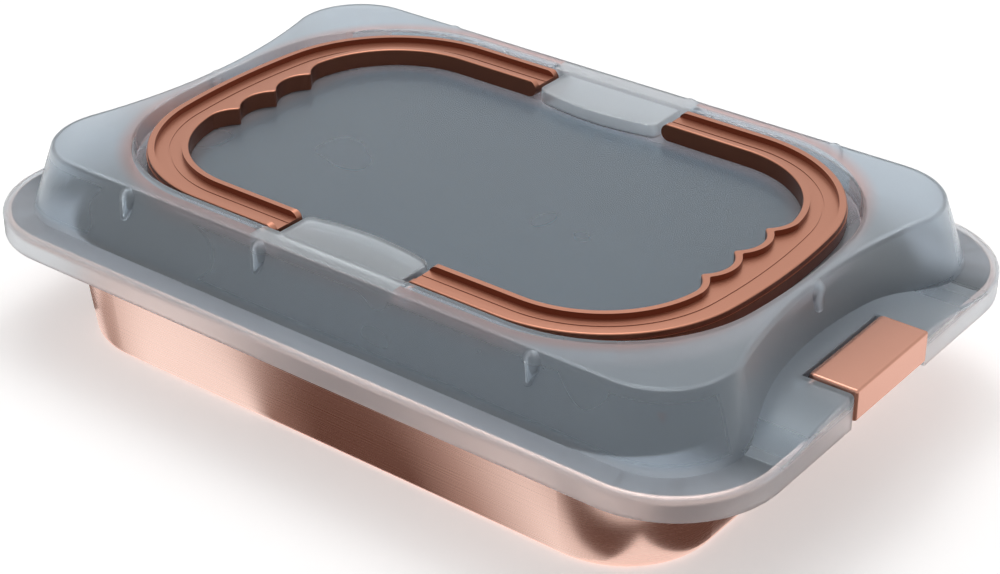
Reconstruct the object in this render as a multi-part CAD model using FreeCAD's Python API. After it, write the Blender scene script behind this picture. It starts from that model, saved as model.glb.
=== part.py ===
# Rectangular cake pan with a clip-on lid whose two carrying handles fold flat into its top.
# Millimetres, +Z up. The origin is on the table, at the middle of the pan's bottom.
# The long side of the pan runs along X. Apart from the stacking lugs, all is symmetrical.

import FreeCAD, Part
import math
import os

# Pan. The opening drives the plan of everything else.
opening_length = 333.0
opening_width = 229.0
opening_corner = 47.0
pan_height = 57.0
wall_lean = 6.0
pan_sheet = 0.8
bottom_round = 5.0
lip_round = 2.0
rim_end = 28.0
rim_side = 12.7
rim_corner = 46.0
roll_radius = 1.6

# Lid
lid_wall = 1.6
lid_fit = 0.5
skirt_drop = 8.7
skirt_round = 2.0
ledge_end = 12.8
ledge_side = 10.2
dome_height = 31.9
dome_foot_corner = 33.5
dome_foot_hollow = 18.2
dome_lean_end = 9.2
dome_lean_side = 8.0
dome_top_corner = 31.5
dome_top_hollow = 10.5
dome_round = 2.8

# Lid: the raised tabs round the clips
tab_rise = 5.3
tab_half_flat = 32.0
tab_half_foot = 80.0
tab_root = 13.5

# Lid: the stacking lugs on the dome's walls
lug_proud = 2.6
lug_depth = 14.2
lug_top_gap = 0.4
lug_nose_radius = 2.1
lug_crown_radius = 4.8
lug_end_gap = 66.5
lug_inner_x = 31.0

# Handle seats in the lid
bead_width = 10.4
seat_end_wall = 5.0
seat_side_gap = 0.7
seat_end_gap = 7.0
seat_floor_gap = 0.3
seat_floor_round = 0.7
seat_lip_round = 0.8

# Lid: the rest between the handles' ends
island_end_gap = 2.7
island_side_gap = 5.0
island_arc = 120.0
island_corner = 4.0
island_drop = 2.1
island_round = 0.8

# Handles
ring_corner = 69.5
ring_crown = 303.0
ring_step = 0.4
ring_step_drop = 2.6
handle_height = 8.0
handle_proud = -0.4
handle_round = 0.7
leg_width = 18.2
leg_gap = 69.8
grip_corner = 50.0
finger_inset = 62.35
finger_swell = 0.62
grip_depth = 21.2
cusp_round = 1.6
rim_wall_outer = 3.6
rim_wall_inner = 3.0
channel_depth = 2.6
groove_inset = 9.6
groove_width = 0.9
groove_depth = 0.25
handle_pin_radius = 1.8
handle_pin_reach = 3.2
boss_wall = 1.3
pin_clearance = 0.05

# Clips
clip_half_width = 28.0
clip_reach = 19.8
clip_front_gap = 0.9
clip_top_rise = 1.4
clip_height = 13.4
clip_wall = 2.0
clip_round = 1.2
clip_corner = 4.5
catch_height = 1.3
catch_gap = 0.3
hinge_radius = 3.4
clip_pin_radius = 1.2
clip_pin_reach = 3.0
notch_side_gap = 0.8
notch_end_gap = 1.1
hinge_floor_gap = 1.0
web_floor_gap = 0.3

# Half sizes in plan, from the pan's opening outwards and then back in over the lid
rim_half_length = opening_length / 2 + rim_end
rim_half_width = opening_width / 2 + rim_side
skirt_half_length = rim_half_length + lid_fit + lid_wall
skirt_half_width = rim_half_width + lid_fit + lid_wall
skirt_corner = rim_corner + lid_fit + lid_wall
dome_foot_half_length = rim_half_length - ledge_end
dome_foot_half_width = rim_half_width - ledge_side
dome_foot_waist = dome_foot_half_length - dome_foot_hollow
dome_top_half_length = dome_foot_half_length - dome_lean_end
dome_top_half_width = dome_foot_half_width - dome_lean_side
dome_top_waist = dome_top_half_length - dome_top_hollow
seat_half_length = dome_top_waist - seat_end_wall
seat_half_width = dome_top_half_width - bead_width
ring_half_length = seat_half_length - seat_end_gap
ring_half_width = seat_half_width - seat_side_gap
finger_pitch = (ring_half_width - finger_inset) / 1.5
finger_radius = finger_pitch * finger_swell
tab_inner_x = dome_foot_waist - tab_root
lug_outer_x = dome_top_half_length - lug_end_gap
island_half_length = leg_gap / 2 - island_end_gap
island_inner_y = ring_half_width - leg_width - island_side_gap
handle_pin_x = leg_gap / 2 + handle_height / 2
clip_inner_x = rim_half_length - clip_reach
clip_front_x = skirt_half_length + clip_front_gap
hinge_x = clip_inner_x + hinge_radius
notch_half_width = clip_half_width + notch_side_gap
notch_inner_x = clip_inner_x - notch_end_gap

# Levels
ledge_top = pan_height + lid_wall
tab_top = ledge_top + tab_rise
skirt_bottom = pan_height - skirt_drop
lid_top = pan_height + dome_height
island_top = lid_top - island_drop
handle_top = lid_top + handle_proud
handle_bottom = handle_top - handle_height
handle_pin_z = handle_bottom + handle_height / 2
seat_floor = handle_bottom - seat_floor_gap
hinge_z = pan_height + hinge_floor_gap + hinge_radius
clip_top = tab_top + clip_top_rise
clip_bottom = clip_top - clip_height

# Longer than any piece, for cuts that run right through
far = 600.0


def point(x, y, z):
    return FreeCAD.Vector(x, y, z)


def arc(start, middle, end):
    return Part.Arc(start, middle, end).toShape()


def closed_outline(side, corner, joint, end, z):
    """Closed outline from four points of its +X +Y quarter: where the long side stops,
    the middle of the corner arc, where the arc stops, and the middle of the short side."""
    def at(xy, sign_x, sign_y):
        return point(xy[0] * sign_x, xy[1] * sign_y, z)

    def short_side(sign_x, first_y):
        start = at(joint, sign_x, first_y)
        stop = at(joint, sign_x, -first_y)
        if end is None:
            return Part.makeLine(start, stop)
        return arc(start, at(end, sign_x, 1), stop)

    edges = [
        Part.makeLine(at(side, -1, -1), at(side, 1, -1)),
        arc(at(side, 1, -1), at(corner, 1, -1), at(joint, 1, -1)),
        short_side(1, -1),
        arc(at(joint, 1, 1), at(corner, 1, 1), at(side, 1, 1)),
        Part.makeLine(at(side, 1, 1), at(side, -1, 1)),
        arc(at(side, -1, 1), at(corner, -1, 1), at(joint, -1, 1)),
        short_side(-1, 1),
        arc(at(joint, -1, -1), at(corner, -1, -1), at(side, -1, -1)),
    ]
    return Part.Wire(edges)


def on_circle(centre, radius, angle):
    return (centre[0] + radius * math.cos(angle), centre[1] + radius * math.sin(angle))


def rounded_outline(half_length, half_width, corner, z):
    """Rectangle with round corners."""
    centre = (half_length - corner, half_width - corner)
    return closed_outline(
        (centre[0], half_width),
        on_circle(centre, corner, math.pi / 4),
        (half_length, centre[1]),
        None,
        z,
    )


def crowned_outline(half_length, half_width, corner, crown, z):
    """Rectangle whose short sides bulge out as arcs of radius crown."""
    crown_x = half_length - crown
    corner_y = half_width - corner
    corner_x = crown_x + math.sqrt((crown - corner) ** 2 - corner_y ** 2)
    turn = math.atan2(corner_y, corner_x - crown_x)
    centre = (corner_x, corner_y)
    return closed_outline(
        (corner_x, half_width),
        on_circle(centre, corner, (turn + math.pi / 2) / 2),
        on_circle(centre, corner, turn),
        (half_length, 0),
        z,
    )


def waisted_outline(half_length, half_width, corner, waist, z):
    """Rectangle whose short sides draw in to half length waist between the round corners."""
    centre = (half_length - corner, half_width - corner)
    reach = waist - centre[0]
    hollow = (reach ** 2 + centre[1] ** 2 - corner ** 2) / (2 * (corner - reach))
    turn = -math.asin(centre[1] / (corner + hollow))
    return closed_outline(
        (centre[0], half_width),
        on_circle(centre, corner, (turn + math.pi / 2) / 2),
        on_circle(centre, corner, turn),
        (waist, 0),
        z,
    )


def prism(wire, height):
    return Part.Face(wire).extrude(point(0, 0, height))


def loft(lower, upper):
    return Part.makeLoft([lower, upper], True, True)


def box(low, high):
    size = high - low
    return Part.makeBox(size.x, size.y, size.z, low)


def rod(radius, start, length):
    """Round bar along +Y from start."""
    return Part.makeCylinder(radius, length, start, point(0, 1, 0))


def mirrored(shape, normal):
    return shape.mirror(point(0, 0, 0), normal)


def at_both_ends(shape):
    return shape.fuse(mirrored(shape, point(1, 0, 0)))


def at_both_sides(shape):
    return shape.fuse(mirrored(shape, point(0, 1, 0)))


def middle_of(edge):
    return edge.valueAt((edge.FirstParameter + edge.LastParameter) / 2)


def level_edges(shape, z):
    """Edges of the shape that lie in the level z."""
    found = []
    for edge in shape.Edges:
        bounds = edge.BoundBox
        if abs(bounds.ZMin - z) < 0.01 and abs(bounds.ZMax - z) < 0.01:
            found.append(edge)
    return found


def upright_edges(shape, spots):
    """Upright edges of the shape that stand on one of the points in plan."""
    found = []
    for edge in shape.Edges:
        foot = edge.Vertexes[0].Point
        bounds = edge.BoundBox
        if max(bounds.XLength, bounds.YLength) > 0.01:
            continue
        for x, y in spots:
            if math.hypot(foot.x - x, foot.y - y) < 0.01:
                found.append(edge)
    return found


def outside_rounded(x, y, half_length, half_width, corner):
    """How far a point in plan lies outside a rectangle with round corners."""
    past_x = abs(x) - (half_length - corner)
    past_y = abs(y) - (half_width - corner)
    if past_x > 0 and past_y > 0:
        return math.hypot(past_x, past_y) - corner
    return max(past_x, past_y) - corner


def pan_wall(inset, z_low):
    """The space inside the leaning walls from z_low up, moved in by inset: a long slab,
    a cross slab and a cone in each corner."""
    height = pan_height - z_low
    centre_x = opening_length / 2 - opening_corner
    centre_y = opening_width / 2 - opening_corner
    top = opening_corner - inset
    foot = top - wall_lean * height / pan_height

    def slab(reach, half, turned):
        def at(across, z):
            if turned:
                return point(-half, across, z)
            return point(across, -half, z)

        section = Part.makePolygon([
            at(-reach - foot, z_low),
            at(reach + foot, z_low),
            at(reach + top, pan_height),
            at(-reach - top, pan_height),
            at(-reach - foot, z_low),
        ])
        along = point(2 * half, 0, 0) if turned else point(0, 2 * half, 0)
        return Part.Face(section).extrude(along)

    corners = []
    for x in (-centre_x, centre_x):
        for y in (-centre_y, centre_y):
            corners.append(Part.makeCone(foot, top, height, point(x, y, z_low)))
    walls = slab(centre_y, centre_x, True).fuse([slab(centre_x, centre_y, False)] + corners)
    return walls.removeSplitter()


def rolled_edge():
    """The rim's edge, rolled down into a closed bead."""
    path = rounded_outline(
        rim_half_length - roll_radius, rim_half_width - roll_radius, rim_corner - roll_radius,
        pan_height - roll_radius,
    )
    start = path.Vertexes[0].Point
    section = Part.Wire(Part.makeCircle(roll_radius, start, point(1, 0, 0)))
    return path.makePipeShell([section], True, False)


def make_pan():
    body = pan_wall(0, 0)
    body = body.makeFillet(bottom_round, level_edges(body, 0))
    flange_outline = rounded_outline(
        rim_half_length - roll_radius, rim_half_width - roll_radius, rim_corner - roll_radius,
        pan_height - pan_sheet,
    )
    body = body.fuse(prism(flange_outline, pan_sheet))
    hollow = pan_wall(pan_sheet, pan_sheet)
    hollow = hollow.makeFillet(bottom_round - pan_sheet, level_edges(hollow, pan_sheet))
    body = body.cut(hollow)
    body = body.makeFillet(lip_round, opening_edges(body))
    return body.fuse(rolled_edge()).removeSplitter()


def opening_edges(shape):
    """Edges of the pan's opening, where the wall turns out into the rim."""
    found = []
    for edge in level_edges(shape, pan_height):
        middle = middle_of(edge)
        gap = outside_rounded(
            middle.x, middle.y,
            opening_length / 2 - pan_sheet, opening_width / 2 - pan_sheet, opening_corner - pan_sheet,
        )
        if abs(gap) < 0.05:
            found.append(edge)
    return found


def tab_block(drop):
    """The space under the lid's raised tabs at both ends, lowered by drop."""
    low = ledge_top - drop
    high = tab_top - drop
    run = (tab_half_foot - tab_half_flat) / 2
    rise = tab_rise / 2
    bend = (run ** 2 + rise ** 2) / (2 * rise)
    half_turn = math.asin(run / bend) / 2
    bend_y = bend * math.sin(half_turn)
    bend_z = bend * (1 - math.cos(half_turn))

    def at(y, z):
        return point(tab_inner_x, y, z)

    def ramp(sign):
        foot = at(sign * tab_half_foot, low)
        centre = at(sign * (tab_half_foot - run), low + rise)
        crest = at(sign * tab_half_flat, high)
        return [
            arc(foot, at(sign * (tab_half_foot - bend_y), low + bend_z), centre),
            arc(centre, at(sign * (tab_half_flat + bend_y), high - bend_z), crest),
        ]

    edges = ramp(-1)
    edges.append(Part.makeLine(at(-tab_half_flat, high), at(tab_half_flat, high)))
    edges.extend(ramp(1)[::-1])
    edges.append(Part.makeLine(at(tab_half_foot, low), at(tab_half_foot, skirt_bottom)))
    edges.append(Part.makeLine(at(tab_half_foot, skirt_bottom), at(-tab_half_foot, skirt_bottom)))
    edges.append(Part.makeLine(at(-tab_half_foot, skirt_bottom), at(-tab_half_foot, low)))
    face = Part.Face(Part.Wire(Part.__sortEdges__(edges)))
    return at_both_ends(face.extrude(point(skirt_half_length, 0, 0)))


def rim_block(inset):
    """Ledge, tabs and skirt as one solid, moved in on every side by inset."""
    outline = rounded_outline(
        skirt_half_length - inset, skirt_half_width - inset, skirt_corner - inset, skirt_bottom
    )
    flat = prism(outline, ledge_top - inset - skirt_bottom)
    raised = prism(outline, tab_top - skirt_bottom).common(tab_block(inset))
    return flat.fuse(raised).removeSplitter()


def upper_rim_edges(shape):
    """Edges where the ledge and the tabs turn down into the skirt."""
    found = []
    for edge in shape.Edges:
        middle = middle_of(edge)
        gap = outside_rounded(middle.x, middle.y, skirt_half_length, skirt_half_width, skirt_corner)
        level = edge.BoundBox.ZMin > ledge_top - 0.01
        if level and abs(gap) < 0.01:
            found.append(edge)
    return found


def dome_block(inset):
    """The dome as one solid, moved in on every side by inset."""
    foot = waisted_outline(
        dome_foot_half_length - inset, dome_foot_half_width - inset,
        dome_foot_corner - inset, dome_foot_waist - inset, pan_height,
    )
    top = waisted_outline(
        dome_top_half_length - inset, dome_top_half_width - inset,
        dome_top_corner - inset, dome_top_waist - inset, lid_top - inset,
    )
    return loft(foot, top)


def lug(x, y, away, lean, inset):
    """Rib that stands proud of the dome's wall, leans with it and narrows downwards, round at
    both ends. It starts at (x, y) on the dome's top outline; lean is the wall's run out per mm."""
    def on_wall(z, radius):
        return point(x, y, z) + away * ((lid_top - z) * lean + lug_proud - radius)

    nose = lug_nose_radius - inset
    crown = lug_crown_radius - inset
    low = on_wall(lid_top - lug_depth + lug_nose_radius, lug_nose_radius)
    high = on_wall(lid_top - lug_top_gap - lug_crown_radius, lug_crown_radius)
    tilt = math.asin((crown - nose) / (high - low).Length)
    axis = (high - low).normalize()
    out = away.cross(point(0, 0, 1)).cross(axis)

    def on_ball(centre, radius, turn):
        return centre + out * (radius * math.cos(turn)) + axis * (radius * math.sin(turn))

    right_angle = math.pi / 2
    bottom = on_ball(low, nose, -right_angle)
    top = on_ball(high, crown, right_angle)
    start = on_ball(low, nose, -tilt)
    end = on_ball(high, crown, -tilt)
    section = Part.Wire([
        arc(bottom, on_ball(low, nose, -(right_angle + tilt) / 2), start),
        Part.makeLine(start, end),
        arc(end, on_ball(high, crown, (right_angle - tilt) / 2), top),
        Part.makeLine(top, bottom),
    ])
    return Part.Face(section).revolve(low, axis, 360)


def lugs(inset):
    """All eight lugs: three on each long wall and one in the middle of each short wall."""
    side_lean = dome_lean_side / dome_height
    end_lean = (dome_foot_waist - dome_top_waist) / dome_height
    found = []
    for x in (-lug_outer_x, -lug_inner_x, lug_outer_x):
        found.append(lug(x, -dome_top_half_width, point(0, -1, 0), side_lean, inset))
        found.append(lug(-x, dome_top_half_width, point(0, 1, 0), side_lean, inset))
    found.append(lug(dome_top_waist, 0, point(1, 0, 0), end_lean, inset))
    found.append(lug(-dome_top_waist, 0, point(-1, 0, 0), end_lean, inset))
    return found


def island(inset, z, height):
    """The rest between the handles' ends on both sides, with a bowed inner edge."""
    half = island_half_length - inset
    bow = half ** 2 / (2 * island_arc)
    middle_y = island_inner_y + inset
    inner_y = middle_y + bow
    outer_y = seat_half_width + lid_wall * 2
    block = prism(Part.Wire([
        arc(point(-half, inner_y, z), point(0, middle_y, z), point(half, inner_y, z)),
        Part.makeLine(point(half, inner_y, z), point(half, outer_y, z)),
        Part.makeLine(point(half, outer_y, z), point(-half, outer_y, z)),
        Part.makeLine(point(-half, outer_y, z), point(-half, inner_y, z)),
    ]), height)
    corners = upright_edges(block, [(-half, inner_y), (half, inner_y)])
    return at_both_sides(block.makeFillet(island_corner - inset, corners))


def seat_outline(grow, z):
    return crowned_outline(
        seat_half_length + grow, seat_half_width + grow,
        ring_corner + seat_side_gap + grow, ring_crown + grow, z,
    )


def seat_space():
    """The space that the handles lie in, with the rests left standing."""
    space = prism(seat_outline(0, seat_floor), far)
    space = space.cut(island(0, seat_floor, island_top - seat_floor))
    rest_edges = []
    for edge in level_edges(space, island_top):
        if abs(middle_of(edge).y) < seat_half_width - 0.01:
            rest_edges.append(edge)
    space = space.makeFillet(island_round, rest_edges)
    return space.makeFillet(seat_floor_round, level_edges(space, seat_floor))


def seat_lip_edges(shape):
    """Edges where the lid's top turns down into the handles' seat."""
    reach_x = seat_half_length + 0.01
    reach_y = seat_half_width + 0.01
    found = []
    for edge in level_edges(shape, lid_top):
        middle = middle_of(edge)
        if abs(middle.x) < reach_x and abs(middle.y) < reach_y:
            found.append(edge)
    return found


def clip_notch(grow, z_low, z_high):
    """The space for a clip at both ends, made wider and longer by grow."""
    half = notch_half_width + grow
    space = box(
        point(notch_inner_x - grow, -half, z_low),
        point(skirt_half_length + skirt_round, half, z_high),
    )
    return at_both_ends(space)


def make_lid():
    rim = rim_block(0)
    rim = rim.makeFillet(skirt_round, upper_rim_edges(rim))
    dome = dome_block(0)
    dome = dome.makeFillet(dome_round, level_edges(dome, lid_top))
    shell = rim.fuse([dome] + lugs(0))

    # Seat for the handles, with a rest between their ends on each side
    shell = shell.cut(seat_space())
    shell = shell.makeFillet(seat_lip_round, seat_lip_edges(shell))

    # Hollow underside, which leaves the walls round the handles' seat
    under_floor = seat_floor - lid_wall
    seat_walls = prism(seat_outline(lid_wall, under_floor), far)
    seat_walls = seat_walls.cut(island(lid_wall, under_floor, island_top - seat_floor))
    under_dome = dome_block(lid_wall).fuse(lugs(lid_wall)).cut(seat_walls)
    shell = shell.cut(rim_block(lid_wall))
    shell = shell.cut(under_dome)

    # Notch for each clip, with a wall round it that carries the clip's pins
    webs = clip_notch(lid_wall, pan_height + web_floor_gap, tab_top).common(rim)
    shell = shell.fuse(webs).cut(clip_notch(0, skirt_bottom, far))
    clip_hole = rod(
        clip_pin_radius + pin_clearance,
        point(hinge_x, -notch_half_width - lid_wall * 2, hinge_z),
        (notch_half_width + lid_wall * 2) * 2,
    )
    shell = shell.cut(at_both_ends(clip_hole))

    # Blind bosses for the handles' pins
    place = point(handle_pin_x, seat_half_width, handle_pin_z)
    boss = rod(handle_pin_radius + boss_wall, place, handle_pin_reach + boss_wall)
    hole = rod(handle_pin_radius + pin_clearance, place, handle_pin_reach)
    shell = shell.fuse(at_both_ends(at_both_sides(boss)))
    shell = shell.cut(at_both_ends(at_both_sides(hole)))
    return shell.removeSplitter()


def grip_opening(grow, z, height):
    """The opening inside one handle, with a hollow for each finger, made larger by grow."""
    corner_y = ring_half_width - leg_width - grip_corner
    corner_radius = grip_corner + grow
    hollow_x = ring_half_length - grip_depth - finger_radius
    hollow = finger_radius + grow
    last_y = finger_pitch * 1.5
    corner_x = hollow_x + finger_radius - math.sqrt(grip_corner ** 2 - (last_y - corner_y) ** 2)
    cusp_x = hollow_x + math.sqrt(hollow ** 2 - (finger_pitch / 2) ** 2)
    bend = on_circle((corner_x, corner_y), corner_radius, math.pi / 4)
    dip = on_circle((hollow_x, last_y), hollow, -math.pi / 6)
    leg_y = corner_y + corner_radius
    edges = []
    for sign in (-1, 1):
        leg_end = point(0, leg_y * sign, z)
        leg_root = point(corner_x, leg_y * sign, z)
        join = point(hollow_x + hollow, last_y * sign, z)
        cusp = point(cusp_x, finger_pitch * sign, z)
        edges.append(Part.makeLine(leg_end, leg_root))
        edges.append(arc(leg_root, point(bend[0], bend[1] * sign, z), join))
        edges.append(arc(join, point(dip[0], dip[1] * sign, z), cusp))
        crest = point(hollow_x + hollow, finger_pitch / 2 * sign, z)
        edges.append(arc(cusp, crest, point(cusp_x, 0, z)))
    edges.append(Part.makeLine(point(0, -leg_y, z), point(0, leg_y, z)))
    opening = prism(Part.Wire(Part.__sortEdges__(edges)), height)
    cusps = upright_edges(opening, [(cusp_x, -finger_pitch), (cusp_x, 0), (cusp_x, finger_pitch)])
    return opening.makeFillet(cusp_round, cusps)


def ring_block(inset, z, height):
    outline = crowned_outline(
        ring_half_length - inset, ring_half_width - inset, ring_corner - inset, ring_crown - inset, z
    )
    return prism(outline, height)


def make_handle_right():
    # A narrower top stands on the body, which leaves a fine step round the outside
    blank = ring_block(0, handle_bottom, handle_height - ring_step_drop)
    blank = blank.fuse(ring_block(ring_step, handle_top - ring_step_drop, ring_step_drop))
    handle = blank.cut(grip_opening(0, handle_bottom, handle_height))
    rims = [edge for edge in level_edges(handle, handle_top) if edge.BoundBox.XMax > leg_gap / 4]
    handle = handle.makeFillet(handle_round, rims)

    # Channel along the top, open at the ends of the legs
    channel_floor = handle_top - channel_depth
    channel = ring_block(rim_wall_outer, channel_floor, channel_depth)
    handle = handle.cut(channel.cut(grip_opening(rim_wall_inner, channel_floor, channel_depth)))

    # Fine groove along the middle of the channel
    groove = ring_block(groove_inset, channel_floor - groove_depth, groove_depth)
    groove = groove.cut(
        ring_block(groove_inset + groove_width, channel_floor - groove_depth, groove_depth)
    )
    handle = handle.cut(groove)

    # The ends of the legs are round about the pins
    half = handle_height / 2
    side = Part.Wire([
        arc(
            point(handle_pin_x, -far, handle_top),
            point(handle_pin_x - half, -far, handle_pin_z),
            point(handle_pin_x, -far, handle_bottom),
        ),
        Part.makeLine(point(handle_pin_x, -far, handle_bottom), point(far, -far, handle_bottom)),
        Part.makeLine(point(far, -far, handle_bottom), point(far, -far, handle_top)),
        Part.makeLine(point(far, -far, handle_top), point(handle_pin_x, -far, handle_top)),
    ])
    handle = handle.common(Part.Face(side).extrude(point(0, 2 * far, 0)))

    # Pins that turn in the lid
    pin_root = rim_wall_outer / 2
    pin = rod(
        handle_pin_radius,
        point(handle_pin_x, ring_half_width - pin_root, handle_pin_z),
        pin_root + handle_pin_reach,
    )
    return handle.fuse(at_both_sides(pin)).removeSplitter()


def make_clip_right():
    inner_x = clip_front_x - clip_wall
    under_top = clip_top - clip_wall
    catch_top = clip_bottom + catch_height
    roll_x = rim_half_length - roll_radius
    roll_z = pan_height - roll_radius
    roll_reach = math.hypot(roll_x - hinge_x, roll_z - hinge_z) + roll_radius
    catch_x = hinge_x + math.sqrt((roll_reach + catch_gap) ** 2 - (hinge_z - catch_top) ** 2)
    barrel_rise = under_top - hinge_z
    barrel_run = math.sqrt(hinge_radius ** 2 - barrel_rise ** 2)
    slant = math.sqrt(0.5)
    y = -clip_half_width

    def at(x, z):
        return point(x, y, z)

    section = Part.Wire([
        arc(
            at(hinge_x, hinge_z - hinge_radius),
            at(hinge_x - hinge_radius * slant, hinge_z - hinge_radius * slant),
            at(hinge_x - hinge_radius, hinge_z),
        ),
        arc(
            at(hinge_x - hinge_radius, hinge_z),
            at(hinge_x - hinge_radius * slant, hinge_z + (clip_top - hinge_z) * slant),
            at(hinge_x, clip_top),
        ),
        Part.makeLine(at(hinge_x, clip_top), at(clip_front_x, clip_top)),
        Part.makeLine(at(clip_front_x, clip_top), at(clip_front_x, clip_bottom)),
        Part.makeLine(at(clip_front_x, clip_bottom), at(catch_x, clip_bottom)),
        Part.makeLine(at(catch_x, clip_bottom), at(catch_x, catch_top)),
        Part.makeLine(at(catch_x, catch_top), at(inner_x, catch_top)),
        Part.makeLine(at(inner_x, catch_top), at(inner_x, under_top)),
        Part.makeLine(at(inner_x, under_top), at(hinge_x + barrel_run, under_top)),
        arc(
            at(hinge_x + barrel_run, under_top),
            at(hinge_x + hinge_radius * slant, hinge_z - hinge_radius * slant),
            at(hinge_x, hinge_z - hinge_radius),
        ),
    ])
    clip = Part.Face(section).extrude(point(0, 2 * clip_half_width, 0))

    # End walls under the top plate, which stop above the pan's rim
    end_wall = box(
        point(hinge_x, -clip_half_width, pan_height + catch_gap * 2),
        point(inner_x + clip_wall / 2, -clip_half_width + clip_wall, clip_top - clip_wall / 2),
    )
    clip = clip.fuse(at_both_sides(end_wall)).removeSplitter()
    clip = clip.makeFillet(clip_round, clip_outer_edges(clip)).common(clip_plan())
    pin = rod(
        clip_pin_radius,
        point(hinge_x, clip_half_width - clip_wall, hinge_z),
        clip_wall + clip_pin_reach,
    )
    return clip.fuse(at_both_sides(pin)).removeSplitter()


def clip_plan():
    """A clip's outline in plan, with round corners at its hinge."""
    root_x = clip_inner_x + clip_corner
    front_x = clip_front_x + clip_wall
    bend_x = clip_inner_x + clip_corner * (1 - math.sqrt(0.5))
    bend_y = clip_half_width - clip_corner * (1 - math.sqrt(0.5))
    flat_y = clip_half_width - clip_corner
    z = clip_bottom - clip_wall

    def at(x, y):
        return point(x, y, z)

    outline = Part.Wire([
        Part.makeLine(at(front_x, -clip_half_width), at(root_x, -clip_half_width)),
        arc(at(root_x, -clip_half_width), at(bend_x, -bend_y), at(clip_inner_x, -flat_y)),
        Part.makeLine(at(clip_inner_x, -flat_y), at(clip_inner_x, flat_y)),
        arc(at(clip_inner_x, flat_y), at(bend_x, bend_y), at(root_x, clip_half_width)),
        Part.makeLine(at(root_x, clip_half_width), at(front_x, clip_half_width)),
        Part.makeLine(at(front_x, clip_half_width), at(front_x, -clip_half_width)),
    ])
    return prism(outline, clip_height + 2 * clip_wall)


def clip_outer_edges(shape):
    """The top and front edges of a clip that a hand meets."""
    found = []
    for edge in shape.Edges:
        middle = middle_of(edge)
        bounds = edge.BoundBox
        along_front = abs(middle.x - clip_front_x) < 0.01 and abs(middle.z - clip_top) < 0.01
        at_side = abs(abs(middle.y) - clip_half_width) < 0.01 and bounds.YLength < 0.01
        on_top = at_side and abs(middle.z - clip_top) < 0.01
        on_front = at_side and abs(middle.x - clip_front_x) < 0.01
        if along_front or on_top or on_front:
            found.append(edge)
    return found


def main():
    os.makedirs("parts", exist_ok=True)
    handle_right = make_handle_right()
    clip_right = make_clip_right()
    pieces = {
        "pan": make_pan(),
        "lid": make_lid(),
        "carry_handle_right": handle_right,
        "carry_handle_left": mirrored(handle_right, point(1, 0, 0)),
        "rim_clip_right": clip_right,
        "rim_clip_left": mirrored(clip_right, point(1, 0, 0)),
    }
    for name, shape in pieces.items():
        box_size = shape.BoundBox
        print(name, shape.ShapeType, len(shape.Solids), "valid", shape.isValid(),
              "volume", round(shape.Volume), "size",
              round(box_size.XLength, 1), round(box_size.YLength, 1), round(box_size.ZLength, 1))
        shape.exportStep("parts/" + name + ".step")


main()
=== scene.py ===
import bpy
import math
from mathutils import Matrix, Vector

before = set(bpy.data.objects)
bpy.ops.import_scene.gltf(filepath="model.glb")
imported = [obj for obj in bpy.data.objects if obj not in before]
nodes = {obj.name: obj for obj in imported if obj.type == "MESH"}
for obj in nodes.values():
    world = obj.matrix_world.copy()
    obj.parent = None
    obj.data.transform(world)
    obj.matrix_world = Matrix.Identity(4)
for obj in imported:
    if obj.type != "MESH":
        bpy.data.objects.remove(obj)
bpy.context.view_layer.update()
print("frame loaded:", ", ".join(sorted(nodes)))

# small helpers


def deselectAll():
    bpy.ops.object.select_all(action="DESELECT")


def newMaterial(name):
    material = bpy.data.materials.new(name)
    material.use_nodes = True
    material.node_tree.nodes.clear()
    return material


def dress(obj, material):
    obj.data.materials.clear()
    obj.data.materials.append(material)


def addNode(tree, kind, place, **settings):
    node = tree.nodes.new(kind)
    node.location = place
    for key, value in settings.items():
        setattr(node, key, value)
    return node


# a socket takes a plain value, or a link from another node's output
def feed(tree, source, socket):
    if isinstance(source, bpy.types.NodeSocket):
        tree.links.new(source, socket)
    else:
        socket.default_value = source


def feedAll(tree, node, sources):
    for name, source in sources.items():
        feed(tree, source, node.inputs[name])


def addMath(tree, operation, place, *sources):
    node = addNode(tree, "ShaderNodeMath", place, operation=operation)
    for socket, source in zip(node.inputs, sources):
        feed(tree, source, socket)
    return node.outputs[0]


def addMix(tree, kind, place, share, first, second):
    node = addNode(tree, "ShaderNodeMix", place, data_type=kind)
    feedAll(tree, node, {"Factor": share, "A": first, "B": second})
    return node.outputs["Result"]


# 0 where the source is at none, 1 where it is at full
def addFade(tree, place, source, none, full):
    fade = addNode(tree, "ShaderNodeMapRange", place, interpolation_type="SMOOTHSTEP")
    falling = none > full
    feedAll(tree, fade, {"Value": source, "From Min": min(none, full), "From Max": max(none, full),
                         "To Min": 1.0 if falling else 0.0, "To Max": 0.0 if falling else 1.0})
    return fade.outputs["Result"]


# MULTIPLY leaves what lies in all the masks, MAXIMUM what lies in any of them
def joinMasks(tree, operation, place, masks):
    joined = masks[0]
    for step, mask in enumerate(masks[1:]):
        joined = addMath(tree, operation, (place[0] + 180 * step, place[1]), joined, mask)
    return joined


# how far a point lies from the object's middle along and across, and its height
def addSpot(tree, coords):
    axes = addNode(tree, "ShaderNodeSeparateXYZ", (-1900, 300))
    feed(tree, coords.outputs["Object"], axes.inputs[0])
    xAway = addMath(tree, "ABSOLUTE", (-1700, 450), axes.outputs["X"])
    yAway = addMath(tree, "ABSOLUTE", (-1700, 300), axes.outputs["Y"])
    return xAway, yAway, axes.outputs["Z"]


# shader groups shared by several finishes

grainLook = {"fineDetail": 3.0, "broadScale": 14.0, "broadDetail": 2.0, "bumpDistance": 0.0002}


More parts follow.
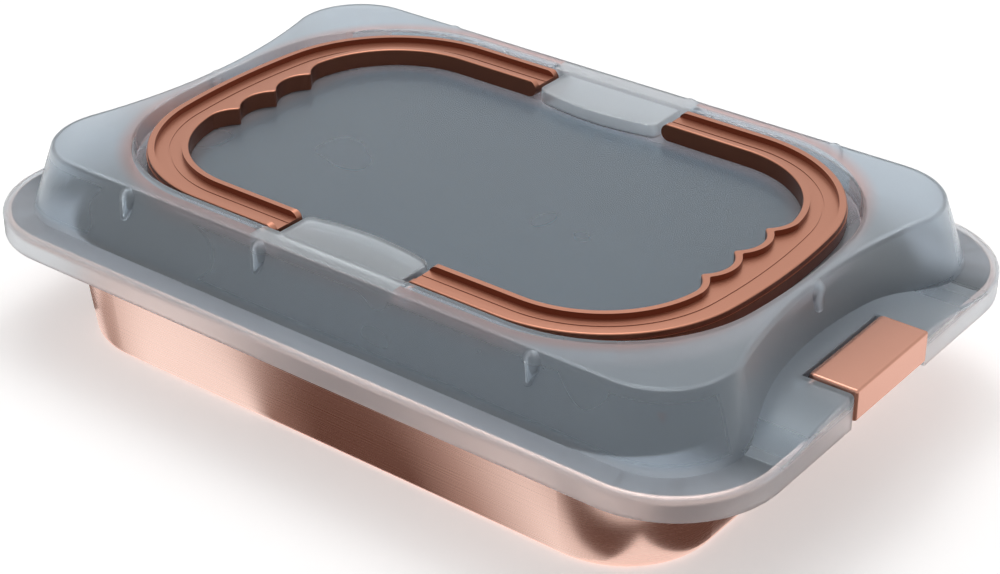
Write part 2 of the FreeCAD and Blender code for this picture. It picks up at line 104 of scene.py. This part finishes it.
# fine grain for the bump, and broad patches that vary the roughness
def makeGrainGroup():
    group = bpy.data.node_groups.new("moulded grain", "ShaderNodeTree")
    for name in ("Scale", "Depth", "Roughness", "Spread"):
        group.interface.new_socket(name, in_out="INPUT", socket_type="NodeSocketFloat")
    for name in ("Roughness", "Height"):
        group.interface.new_socket(name, in_out="OUTPUT", socket_type="NodeSocketFloat")
    start = addNode(group, "NodeGroupInput", (-700, 0))
    end = addNode(group, "NodeGroupOutput", (400, 0))
    coords = addNode(group, "ShaderNodeTexCoord", (-700, -250))
    fine = addNode(group, "ShaderNodeTexNoise", (-450, 100))
    broad = addNode(group, "ShaderNodeTexNoise", (-450, -200))
    feedAll(group, fine, {"Vector": coords.outputs["Object"], "Scale": start.outputs["Scale"],
                          "Detail": grainLook["fineDetail"]})
    feedAll(group, broad, {"Vector": coords.outputs["Object"], "Scale": grainLook["broadScale"],
                           "Detail": grainLook["broadDetail"]})
    height = addMath(group, "MULTIPLY", (-200, 100), fine.outputs["Fac"], start.outputs["Depth"])
    half = addMath(group, "MULTIPLY", (-200, -400), start.outputs["Spread"], -0.5)
    patches = addMath(group, "MULTIPLY_ADD", (-200, -200), broad.outputs["Fac"], start.outputs["Spread"],
                      half)
    roughness = addMath(group, "ADD", (0, -200), patches, start.outputs["Roughness"])
    feedAll(group, end, {"Roughness": roughness, "Height": height})
    return group


# distance from a rounded oblong in plan, below zero inside it
def makeOutlineGroup():
    group = bpy.data.node_groups.new("distance from outline", "ShaderNodeTree")
    for name in ("X Away", "Y Away", "Half Length", "Half Width", "Corner"):
        group.interface.new_socket(name, in_out="INPUT", socket_type="NodeSocketFloat")
    group.interface.new_socket("Distance", in_out="OUTPUT", socket_type="NodeSocketFloat")
    start = addNode(group, "NodeGroupInput", (-1200, 0)).outputs
    end = addNode(group, "NodeGroupOutput", (600, 0))
    straightX = addMath(group, "SUBTRACT", (-1000, 200), start["Half Length"], start["Corner"])
    straightY = addMath(group, "SUBTRACT", (-1000, -200), start["Half Width"], start["Corner"])
    overX = addMath(group, "SUBTRACT", (-800, 200), start["X Away"], straightX)
    overY = addMath(group, "SUBTRACT", (-800, -200), start["Y Away"], straightY)
    cornerX = addMath(group, "MAXIMUM", (-600, 300), overX, 0.0)
    cornerY = addMath(group, "MAXIMUM", (-600, -300), overY, 0.0)
    squareX = addMath(group, "MULTIPLY", (-400, 300), cornerX, cornerX)
    squareY = addMath(group, "MULTIPLY", (-400, -300), cornerY, cornerY)
    square = addMath(group, "ADD", (-200, 200), squareX, squareY)
    reach = addMath(group, "POWER", (0, 200), square, 0.5)
    larger = addMath(group, "MAXIMUM", (-600, 0), overX, overY)
    within = addMath(group, "MINIMUM", (-400, 0), larger, 0.0)
    both = addMath(group, "ADD", (200, 100), reach, within)
    distance = addMath(group, "SUBTRACT", (400, 0), both, start["Corner"])
    feed(group, distance, end.inputs["Distance"])
    return group


grainGroup = makeGrainGroup()
outlineGroup = makeOutlineGroup()


def useGrain(tree, shader, look, roughness):
    grain = addNode(tree, "ShaderNodeGroup", (-700, -250), node_tree=grainGroup)
    bump = addNode(tree, "ShaderNodeBump", (-350, -300))
    feedAll(tree, grain, {"Scale": look["scale"], "Depth": look["depth"], "Spread": look["spread"],
                          "Roughness": roughness})
    feedAll(tree, bump, {"Strength": look["strength"], "Distance": grainLook["bumpDistance"],
                         "Height": grain.outputs["Height"]})
    feedAll(tree, shader, {"Roughness": grain.outputs["Roughness"], "Normal": bump.outputs["Normal"]})


# the outline is its half length, half width and corner radius
def useOutline(tree, place, xAway, yAway, outline):
    node = addNode(tree, "ShaderNodeGroup", place, node_tree=outlineGroup)
    feedAll(tree, node, {"X Away": xAway, "Y Away": yAway, "Half Length": outline[0],
                         "Half Width": outline[1], "Corner": outline[2]})
    return node.outputs["Distance"]


# the tabs at the ends, where the lid is left clear and the rim below it is painted dark, a painted shade

tabZone = {"xNone": 0.150, "xFull": 0.166, "yNone": 0.106, "yFull": 0.078}


def addTabZone(tree, xAway, yAway):
    return joinMasks(tree, "MULTIPLY", (-1200, -1600),
                     [addFade(tree, (-1450, -1550), xAway, tabZone["xNone"], tabZone["xFull"]),
                      addFade(tree, (-1450, -1700), yAway, tabZone["yNone"], tabZone["yFull"])])


# lid, frosted plastic

lidPlastic = {
    "clear": (0.80, 0.87, 0.93, 1.0), "recess": (0.03, 0.14, 0.26, 1.0),
    "milky": (0.93, 0.96, 0.98, 1.0), "glow": (0.95, 0.60, 0.54, 1.0),
    "clearRoughness": 0.27, "milkyRoughness": 0.45, "transmission": 0.85, "ior": 1.24,
    "coat": 0.12, "coatRoughness": 0.12, "specularTint": (0.60, 0.85, 1.0, 1.0),
    "sheen": 0.02, "sheenRoughness": 0.35, "sheenTint": (0.78, 0.90, 1.0, 1.0),
    "grain": {"scale": 500.0, "depth": 0.3, "spread": 0.04, "strength": 0.003},
    "shadowTone": (0.80, 0.82, 0.85, 1.0), "shadowShare": 0.8,  # light that gets through the wall
    # where the rests lie, from the middle outwards
    "restLength": 0.0375, "restInner": 0.066, "restOuter": 0.108, "restLow": 0.0805,
    # a box round the recess's floor, which gets a painted dark shade
    "recessLength": 0.161, "recessWidth": 0.105, "recessLow": 0.0750, "recessHigh": 0.0801,
    # painted milky haze up to the ledge, but not on the tabs
    "ledgeFull": 0.0592, "ledgeNone": 0.0622, "ledgeShare": 0.9, "tabLow": 0.0572,
    # painted haze on the dome's top and on its waisted ends
    "topLow": 0.0845, "topShare": 0.14,
    "endStart": 0.142, "endNone": 0.092, "endFull": 0.068, "endLow": 0.0605, "endShare": 0.30,
    # the handles' ring, as half length, half width and corner radius, and how far its painted copper reflection
    # reaches
    "ringInner": (0.1310, 0.0850, 0.0500), "ringOuter": (0.1515, 0.1032, 0.0695),
    "glowInside": 0.013, "glowOutside": 0.009, "glowLow": 0.074, "glowHigh": 0.084, "glowShare": 0.85}


# the rests between the handles' ends, which get the painted milky haze
def addRestMask(tree, xAway, yAway, height):
    return joinMasks(tree, "MULTIPLY", (-1200, 550),
                     [addMath(tree, "LESS_THAN", (-1450, 700), xAway, lidPlastic["restLength"]),
                      addMath(tree, "GREATER_THAN", (-1450, 550), yAway, lidPlastic["restInner"]),
                      addMath(tree, "LESS_THAN", (-1450, 400), yAway, lidPlastic["restOuter"]),
                      addMath(tree, "GREATER_THAN", (-1450, 250), height, lidPlastic["restLow"])])


# painted shade: the floor of the recess gets a dark blue tone that stands for the dark pan seen through it
def addRecessShadeMask(tree, xAway, yAway, height):
    return joinMasks(tree, "MULTIPLY", (-1200, 0),
                     [addMath(tree, "LESS_THAN", (-1450, 50), xAway, lidPlastic["recessLength"]),
                      addMath(tree, "LESS_THAN", (-1450, -100), yAway, lidPlastic["recessWidth"]),
                      addMath(tree, "GREATER_THAN", (-1450, -250), height, lidPlastic["recessLow"]),
                      addMath(tree, "LESS_THAN", (-1450, -400), height, lidPlastic["recessHigh"])])


# painted reflection: a copper tone is painted into the plastic inside and outside the handles' ring, for the
# copper seen through it; it stays there when the handles move
def addCopperReflectionMask(tree, xAway, yAway, height, fromRing, recess):
    fromInner = useOutline(tree, (-1450, -700), xAway, yAway, lidPlastic["ringInner"])
    within = joinMasks(tree, "MULTIPLY", (-1000, -700),
                       [addFade(tree, (-1200, -700), fromInner, -lidPlastic["glowInside"], 0.0), recess])
    beside = joinMasks(tree, "MULTIPLY", (-1000, -1000),
                       [addFade(tree, (-1200, -950), fromRing, lidPlastic["glowOutside"], 0.0),
                        addMath(tree, "GREATER_THAN", (-1200, -1150), fromRing, 0.0),
                        addFade(tree, (-1200, -1350), height, lidPlastic["glowLow"], lidPlastic["glowHigh"])])
    either = joinMasks(tree, "MAXIMUM", (-700, -800), [within, beside])
    return addMath(tree, "MULTIPLY", (-520, -800), either, lidPlastic["glowShare"])


# the ledge and the skirt are milky, the dome's top and its waisted ends only hazy; the haze is set zone by
# zone, partly the frosting of the plastic and partly painted brightness
def addHazeMask(tree, xAway, yAway, height, fromRing):
    onTab = joinMasks(tree, "MULTIPLY", (-1000, -1500),
                      [addTabZone(tree, xAway, yAway),
                       addMath(tree, "GREATER_THAN", (-1450, -1850), height, lidPlastic["tabLow"])])
    offTab = addMath(tree, "SUBTRACT", (-820, -1500), 1.0, onTab)
    lowDown = addFade(tree, (-1200, -500), height, lidPlastic["ledgeNone"], lidPlastic["ledgeFull"])
    ledge = joinMasks(tree, "MULTIPLY", (-1000, -500), [lowDown, offTab])
    onTop = joinMasks(tree, "MULTIPLY", (-1200, -2050),
                      [addMath(tree, "GREATER_THAN", (-1450, -2000), fromRing, 0.0),
                       addMath(tree, "GREATER_THAN", (-1450, -2150), height, lidPlastic["topLow"])])
    onEnd = joinMasks(tree, "MULTIPLY", (-1200, -2350),
                      [addMath(tree, "GREATER_THAN", (-1450, -2300), xAway, lidPlastic["endStart"]),
                       addFade(tree, (-1450, -2450), yAway, lidPlastic["endNone"], lidPlastic["endFull"]),
                       addMath(tree, "GREATER_THAN", (-1450, -2600), height, lidPlastic["endLow"])])
    hazes = [addMath(tree, "MULTIPLY", (-800, -500), ledge, lidPlastic["ledgeShare"]),
             addMath(tree, "MULTIPLY", (-800, -2050), onTop, lidPlastic["topShare"]),
             addMath(tree, "MULTIPLY", (-800, -2350), onEnd, lidPlastic["endShare"])]
    return joinMasks(tree, "MAXIMUM", (-620, -1200), hazes)


def makeFrostedPlastic():
    material = newMaterial("frosted plastic")
    tree = material.node_tree
    out = addNode(tree, "ShaderNodeOutputMaterial", (500, 0))
    shader = addNode(tree, "ShaderNodeBsdfPrincipled", (0, 0))
    feedAll(tree, shader, {"Transmission Weight": lidPlastic["transmission"], "IOR": lidPlastic["ior"],
                           "Coat Weight": lidPlastic["coat"], "Coat Roughness": lidPlastic["coatRoughness"],
                           "Specular Tint": lidPlastic["specularTint"], "Sheen Weight": lidPlastic["sheen"],
                           "Sheen Roughness": lidPlastic["sheenRoughness"],
                           "Sheen Tint": lidPlastic["sheenTint"]})
    xAway, yAway, height = addSpot(tree, addNode(tree, "ShaderNodeTexCoord", (-2100, 300)))
    fromRing = useOutline(tree, (-1450, -950), xAway, yAway, lidPlastic["ringOuter"])
    recess = addRecessShadeMask(tree, xAway, yAway, height)
    glow = addCopperReflectionMask(tree, xAway, yAway, height, fromRing, recess)
    milky = joinMasks(tree, "MAXIMUM", (-500, 350), [addRestMask(tree, xAway, yAway, height),
                                                     addHazeMask(tree, xAway, yAway, height, fromRing)])
    # painted shade over the recess's floor
    tone = addMix(tree, "RGBA", (-550, 150), recess, lidPlastic["clear"], lidPlastic["recess"])
    # painted copper reflection round the handles' ring
    copperReflected = addMix(tree, "RGBA", (-350, 150), glow, tone, lidPlastic["glow"])
    # milky haze, partly the plastic's own frosting and partly painted brightness
    colour = addMix(tree, "RGBA", (-180, 300), milky, copperReflected, lidPlastic["milky"])
    feed(tree, colour, shader.inputs["Base Color"])
    roughness = addNode(tree, "ShaderNodeMapRange", (-900, -100))
    feedAll(tree, roughness, {"Value": milky, "To Min": lidPlastic["clearRoughness"],
                              "To Max": lidPlastic["milkyRoughness"]})
    useGrain(tree, shader, lidPlastic["grain"], roughness.outputs["Result"])
    # light passes through the thin wall on its way to what lies inside
    path = addNode(tree, "ShaderNodeLightPath", (-200, 700))
    lightRay = addMath(tree, "MAXIMUM", (0, 700), path.outputs["Is Shadow Ray"],
                       path.outputs["Is Diffuse Ray"])
    passing = addNode(tree, "ShaderNodeBsdfTransparent", (0, 150))
    passing.inputs["Color"].default_value = lidPlastic["shadowTone"]
    mix = addNode(tree, "ShaderNodeMixShader", (300, 0))
    feed(tree, addMath(tree, "MULTIPLY", (180, 700), lightRay, lidPlastic["shadowShare"]), mix.inputs["Fac"])
    feed(tree, shader.outputs[0], mix.inputs[1])
    feed(tree, passing.outputs[0], mix.inputs[2])
    feed(tree, mix.outputs[0], out.inputs["Surface"])
    return material


# handles and clips, plastic with a copper tint

# top is a painted lit tone for faces that look up, wall a painted shade tone for upright faces
handlePlastic = {"top": (0.53, 0.235, 0.155, 1.0), "wall": (0.20, 0.075, 0.046, 1.0), "wallTilt": 0.15,
                 "topTilt": 0.75, "clip": (0.62, 0.31, 0.225, 1.0), "metallic": 0.9, "roughness": 0.34,
                 "grain": {"scale": 1500.0, "depth": 0.5, "spread": 0.1, "strength": 0.5}}


def makeCopperPlastic(name):
    material = newMaterial(name)
    tree = material.node_tree
    out = addNode(tree, "ShaderNodeOutputMaterial", (300, 0))
    shader = addNode(tree, "ShaderNodeBsdfPrincipled", (0, 0))
    shader.inputs["Metallic"].default_value = handlePlastic["metallic"]
    useGrain(tree, shader, handlePlastic["grain"], handlePlastic["roughness"])
    feed(tree, shader.outputs[0], out.inputs["Surface"])
    return material, tree, shader


# painted shade: the handles' upright faces get a darker base colour than those that face up, by each face's
# tilt in the handle's own frame
def makeHandlePlastic():
    material, tree, shader = makeCopperPlastic("handle plastic")
    coords = addNode(tree, "ShaderNodeTexCoord", (-1100, 200))
    axes = addNode(tree, "ShaderNodeSeparateXYZ", (-900, 200))
    feed(tree, coords.outputs["Normal"], axes.inputs[0])
    tilt = addMath(tree, "ABSOLUTE", (-700, 200), axes.outputs["Z"])
    paintedLitShare = addFade(tree, (-500, 200), tilt, handlePlastic["wallTilt"], handlePlastic["topTilt"])
    colour = addMix(tree, "RGBA", (-300, 200), paintedLitShare, handlePlastic["wall"], handlePlastic["top"])
    feed(tree, colour, shader.inputs["Base Color"])
    return material


# painted light: the clips are the same plastic as the handles, given a lighter copper than even the handles'
# lit tone
def makeClipPlastic():
    material, tree, shader = makeCopperPlastic("clip plastic")
    shader.inputs["Base Color"].default_value = handlePlastic["clip"]
    return material


# pan, rose copper outside and a dark lining inside

panFinish = {"coat": (0.90, 0.62, 0.53, 1.0), "lining": (0.014, 0.022, 0.034, 1.0),
             "rim": (0.52, 0.54, 0.57, 1.0), "rimLow": 0.0548, "middle": 0.0605,
             "smooth": 0.24, "rough": 0.30, "liningRoughness": 0.5, "specular": 0.08, "anisotropic": 0.7,
             "lineScale": (12.0, 12.0, 1800.0), "lineDetail": 4.0, "lineRoughness": 0.6,
             "bumpStrength": 0.035, "bumpDistance": 0.0001}


def makePanMetal():
    material = newMaterial("rose copper coat")
    tree = material.node_tree
    out = addNode(tree, "ShaderNodeOutputMaterial", (500, 0))
    shader = addNode(tree, "ShaderNodeBsdfPrincipled", (200, 0))
    coords = addNode(tree, "ShaderNodeTexCoord", (-2100, 0))
    # a face is outside where it looks away from the pan's middle
    shift = addNode(tree, "ShaderNodeVectorMath", (-900, 100), operation="SUBTRACT")
    outward = addNode(tree, "ShaderNodeVectorMath", (-700, 100), operation="DOT_PRODUCT")
    feed(tree, coords.outputs["Object"], shift.inputs[0])
    feed(tree, (0.0, 0.0, panFinish["middle"]), shift.inputs[1])
    feed(tree, shift.outputs["Vector"], outward.inputs[0])
    feed(tree, coords.outputs["Normal"], outward.inputs[1])
    outside = addMath(tree, "GREATER_THAN", (-500, 100), outward.outputs["Value"], 0.0)
    # the rim is pale grey, and under the lid's tabs it is painted dark like the lining, a painted shade beneath
    # them
    xAway, yAway, height = addSpot(tree, coords)
    onRim = addMath(tree, "GREATER_THAN", (-700, 350), height, panFinish["rimLow"])
    offTab = addMath(tree, "SUBTRACT", (-820, -1500), 1.0, addTabZone(tree, xAway, yAway))
    paleRim = joinMasks(tree, "MULTIPLY", (-500, 350), [onRim, offTab])
    lining = addMix(tree, "RGBA", (-400, 350), paleRim, panFinish["lining"], panFinish["rim"])
    colour = addMix(tree, "RGBA", (-200, 200), outside, lining, panFinish["coat"])
    feed(tree, colour, shader.inputs["Base Color"])
    # brushed lines round the wall
    stretch = addNode(tree, "ShaderNodeMapping", (-900, -250))
    lines = addNode(tree, "ShaderNodeTexNoise", (-700, -250))
    brushed = addNode(tree, "ShaderNodeMapRange", (-400, -250))
    bump = addNode(tree, "ShaderNodeBump", (-200, -400))
    tangent = addNode(tree, "ShaderNodeTangent", (-200, -600), direction_type="RADIAL", axis="Z")
    feedAll(tree, stretch, {"Vector": coords.outputs["Object"], "Scale": panFinish["lineScale"]})
    feedAll(tree, lines, {"Vector": stretch.outputs["Vector"], "Scale": 1.0,
                          "Detail": panFinish["lineDetail"], "Roughness": panFinish["lineRoughness"]})
    feedAll(tree, brushed, {"Value": lines.outputs["Fac"], "To Min": panFinish["smooth"],
                            "To Max": panFinish["rough"]})
    feedAll(tree, bump, {"Strength": panFinish["bumpStrength"], "Distance": panFinish["bumpDistance"],
                         "Height": lines.outputs["Fac"]})
    roughness = addMix(tree, "FLOAT", (-200, -150), outside, panFinish["liningRoughness"],
                       brushed.outputs["Result"])
    feedAll(tree, shader, {"Metallic": outside, "Roughness": roughness,
                           "Anisotropic": panFinish["anisotropic"], "Specular IOR Level": panFinish["specular"],
                           "Normal": bump.outputs["Normal"], "Tangent": tangent.outputs["Tangent"]})
    feed(tree, shader.outputs[0], out.inputs["Surface"])
    return material


handleFinish = makeHandlePlastic()
clipFinish = makeClipPlastic()
dress(nodes["lid"], makeFrostedPlastic())
dress(nodes["pan"], makePanMetal())
for side in ("left", "right"):
    dress(nodes["carry_handle_" + side], handleFinish)
    dress(nodes["rim_clip_" + side], clipFinish)
print("finishes made")

# pale floor and white surroundings

stageLook = {"floorSize": 12.0, "floorDrop": 0.0002, "floorColour": (0.84, 0.84, 0.84, 1.0),
             "floorSeen": 0.35, "floorThrough": -0.55, "floorMirrored": 0.65,
             "white": (1.0, 1.0, 1.0, 1.0), "worldStrength": 0.5, "worldSeen": 1.0, "worldMirrored": 0.55,
             "worldThrough": 0.25}


# a strength for the white surroundings, summed over the kinds of ray that see them
def addRayWhite(tree, place, camera, mirrored, through):
    path = addNode(tree, "ShaderNodeLightPath", place)
    total = 0.0
    for step, (kind, strength) in enumerate((("Is Camera Ray", camera), ("Is Glossy Ray", mirrored),
                                             ("Is Transmission Ray", through))):
        total = addMath(tree, "MULTIPLY_ADD", (place[0] + 250 + 200 * step, place[1]), path.outputs[kind],
                        strength, total)
    return total


def makeFloor():
    deselectAll()
    bpy.ops.mesh.primitive_plane_add(size=stageLook["floorSize"], location=(0, 0, -stageLook["floorDrop"]))
    floor = bpy.context.object
    floor.name = "floor"
    material = newMaterial("pale floor")
    tree = material.node_tree
    out = addNode(tree, "ShaderNodeOutputMaterial", (500, 0))
    diffuse = addNode(tree, "ShaderNodeBsdfDiffuse", (0, 0))
    glow = addNode(tree, "ShaderNodeEmission", (0, -200))
    both = addNode(tree, "ShaderNodeAddShader", (250, 0))
    feed(tree, stageLook["floorColour"], diffuse.inputs["Color"])
    feed(tree, addRayWhite(tree, (-900, -200), stageLook["floorSeen"], stageLook["floorMirrored"],
                           stageLook["floorThrough"]), glow.inputs["Strength"])
    feed(tree, diffuse.outputs[0], both.inputs[0])
    feed(tree, glow.outputs[0], both.inputs[1])
    feed(tree, both.outputs[0], out.inputs["Surface"])
    dress(floor, material)


def makeWorld():
    world = bpy.data.worlds.new("studio")
    bpy.context.scene.world = world
    world.use_nodes = True
    tree = world.node_tree
    tree.nodes.clear()
    out = addNode(tree, "ShaderNodeOutputWorld", (500, 0))
    light = addNode(tree, "ShaderNodeBackground", (0, 100))
    seen = addNode(tree, "ShaderNodeBackground", (0, -100))
    mix = addNode(tree, "ShaderNodeMixShader", (250, 0))
    feedAll(tree, light, {"Color": stageLook["white"], "Strength": stageLook["worldStrength"]})
    feedAll(tree, seen, {"Color": stageLook["white"], "Strength": 1.0})
    feed(tree, addRayWhite(tree, (-900, 300), stageLook["worldSeen"], stageLook["worldMirrored"],
                           stageLook["worldThrough"]), mix.inputs["Fac"])
    feed(tree, light.outputs[0], mix.inputs[1])
    feed(tree, seen.outputs[0], mix.inputs[2])
    feed(tree, mix.outputs[0], out.inputs["Surface"])


# cards flat on the floor, which only the polished wall mirrors

cardSizes = {"height": 0.0004, "lowHeight": 0.0002, "foot": -0.1085, "reach": 0.11, "slant": 1.30,
             "left": -0.16, "right": 0.20, "endInner": 0.163, "endOuter": 0.36,
             "rightNear": -0.26, "rightFar": 0.03, "leftNear": -0.105, "leftFar": 0.10,
             "greenPower": 1.25, "bluePower": 1.35,  # these turn dark tones brown
             "rightTones": ((0.0, 0.12), (1.0, 0.16)), "leftTones": ((0.0, 0.12), (1.0, 0.12)),
             "frontTones": ((0.0, 0.45), (0.095, 0.45), (0.125, 0.9), (0.16, 1.08), (0.33, 1.05),
                            (0.36, 0.30), (0.44, 0.13), (0.58, 0.14), (0.67, 0.42), (0.78, 1.0),
                            (0.825, 0.80), (0.845, 0.15), (0.92, 0.10), (0.935, 0.9), (0.965, 0.9),
                            (1.0, 0.3))}


def makeCardLight(name, tones):
    material = newMaterial(name)
    tree = material.node_tree
    out = addNode(tree, "ShaderNodeOutputMaterial", (500, 0))
    glow = addNode(tree, "ShaderNodeEmission", (200, 0))
    spots = addNode(tree, "ShaderNodeUVMap", (-600, 0), uv_map="UVMap")
    axes = addNode(tree, "ShaderNodeSeparateXYZ", (-400, 0))
    ramp = addNode(tree, "ShaderNodeValToRGB", (-200, 0))
    points = ramp.color_ramp.elements
    while len(points) < len(tones):
        points.new(1.0)
    for point, (place, tone) in zip(points, tones):
        point.position = place
        point.color = (tone, tone ** cardSizes["greenPower"], tone ** cardSizes["bluePower"], 1.0)
    feed(tree, spots.outputs[0], axes.inputs[0])
    feed(tree, axes.outputs["X"], ramp.inputs[0])
    feed(tree, ramp.outputs[0], glow.inputs["Color"])
    feed(tree, glow.outputs[0], out.inputs["Surface"])
    return material


def addCard(name, height, corners, tones):
    deselectAll()
    bpy.ops.mesh.primitive_plane_add(size=1.0, location=(0, 0, 0))
    card = bpy.context.object
    card.name = name
    for vertex, (x, y) in zip(card.data.vertices, corners):  # near left, near right, far left, far right
        vertex.co = (x, y, height)
    card.visible_camera = False
    card.visible_diffuse = False
    card.visible_shadow = False
    card.visible_transmission = False
    dress(card, makeCardLight(name, tones))


def makeCards():
    foot, near = cardSizes["foot"], cardSizes["foot"] - cardSizes["reach"]
    left, right = cardSizes["left"], cardSizes["right"]
    slide = cardSizes["slant"] * cardSizes["reach"]
    corners = ((left - slide, near), (right - slide, near), (left, foot), (right, foot))
    addCard("front card", cardSizes["height"], corners, cardSizes["frontTones"])
    for side, xLow, xHigh in (("right", cardSizes["endInner"], cardSizes["endOuter"]),
                              ("left", -cardSizes["endOuter"], -cardSizes["endInner"])):
        near, far = cardSizes[side + "Near"], cardSizes[side + "Far"]
        corners = ((xLow, near), (xHigh, near), (xLow, far), (xHigh, far))
        addCard(side + " card", cardSizes["lowHeight"], corners, cardSizes[side + "Tones"])


# soft lamps over the far left

lampSizes = {"aim": (0, 0, 0.04),
             "top box": {"place": (-0.2, 0.3, 1.4), "size": (1.2, 1.2), "watts": 7.0},
             "strip box": {"place": (-0.25, 0.35, 1.3), "size": (0.25, 0.7), "watts": 2.2}}


def addLamp(name):
    sizes = lampSizes[name]
    data = bpy.data.lights.new(name, "AREA")
    data.shape = "RECTANGLE"
    data.size, data.size_y = sizes["size"]
    data.energy = sizes["watts"]
    lamp = bpy.data.objects.new(name, data)
    bpy.context.scene.collection.objects.link(lamp)
    lamp.location = sizes["place"]
    lamp.rotation_mode = "QUATERNION"
    lamp.rotation_quaternion = (Vector(lampSizes["aim"]) - Vector(sizes["place"])).to_track_quat("-Z", "Y")


makeFloor()
makeCards()
makeWorld()
addLamp("top box")
addLamp("strip box")
print("stage and light made")

# camera as in the photo

cameraView = {"azimuth": 37.75, "elevation": 29.85, "distance": 0.8362,
              "target": (0.0679, -0.0798, 0.0885), "lens": 78.24}


def makeCamera():
    turn = math.radians(cameraView["azimuth"])
    rise = math.radians(cameraView["elevation"])
    back = Vector((math.sin(turn) * math.cos(rise), -math.cos(turn) * math.cos(rise), math.sin(rise)))
    data = bpy.data.cameras.new("camera")
    data.lens = cameraView["lens"]
    camera = bpy.data.objects.new("camera", data)
    bpy.context.scene.collection.objects.link(camera)
    camera.location = Vector(cameraView["target"]) + back * cameraView["distance"]
    camera.rotation_mode = "QUATERNION"
    camera.rotation_quaternion = (-back).to_track_quat("-Z", "Y")
    bpy.context.scene.camera = camera


makeCamera()
bpy.context.scene.view_settings.view_transform = "Standard"
print("camera set")
